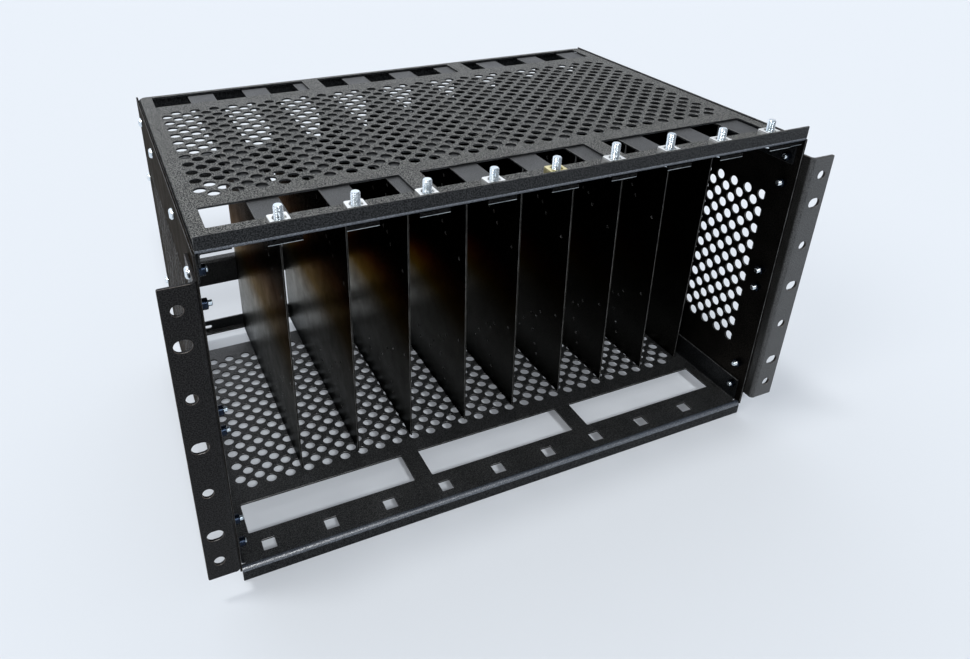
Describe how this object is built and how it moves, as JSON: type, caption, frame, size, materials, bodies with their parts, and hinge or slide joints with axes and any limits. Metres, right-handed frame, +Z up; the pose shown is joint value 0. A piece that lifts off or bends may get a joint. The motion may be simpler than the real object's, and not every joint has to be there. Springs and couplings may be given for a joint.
{
  "type": "subrack card cage",
  "caption": "Open-fronted rack subrack of folded black sheet, with perforated panels, windows, upright dividers, rack ears and cage nuts along the top edge.",
  "frame": {"origin": "centre of the bounding box in X and Y, at the lowest edge, which is the lower edge of the bottom panel's front lip", "axes": "+X to the right seen from the front, +Y from the open front to the rear, +Z up"},
  "size_m": [0.4826, 0.303, 0.2718],
  "materials": {
    "black_sheet": "fine textured black powder coat",
    "divider_sheet": "fine textured black powder coat",
    "ear_sheet": "fine textured black powder coat",
    "rail_sheet": "fine textured black powder coat",
    "zinc": "bright zinc plate",
    "yellow_zinc": "yellow zinc plate",
    "screw_steel": "bright zinc plate",
    "blue_zinc": "dark blue zinc plate"
  },
  "bodies": {
    "root": {"bottom_panel": "black_sheet", "top_panel": "black_sheet", "side_panel_left": "black_sheet", "side_panel_right": "black_sheet", "rack_ear_left": "ear_sheet", "rack_ear_right": "ear_sheet", "divider_1": "divider_sheet", "divider_2": "divider_sheet", "divider_3": "divider_sheet", "divider_4": "divider_sheet", "divider_5": "divider_sheet", "divider_6": "divider_sheet", "divider_7": "divider_sheet", "divider_8": "divider_sheet", "divider_9": "divider_sheet", "rear_rail_lower": "rail_sheet", "rear_rail_upper": "rail_sheet", "front_corner_tab": "black_sheet", "cage_nut_cages": "zinc", "cage_nut_bodies": "zinc", "middle_cage": "yellow_zinc", "middle_cage_nut": "yellow_zinc", "cage_nut_screws": "screw_steel", "ear_screws_left": "screw_steel", "ear_screws_right": "screw_steel", "side_screws_left": "screw_steel", "side_screws_right": "screw_steel", "press_nuts_left": "blue_zinc", "press_nuts_right": "blue_zinc"}
  },
  "joints": []
}
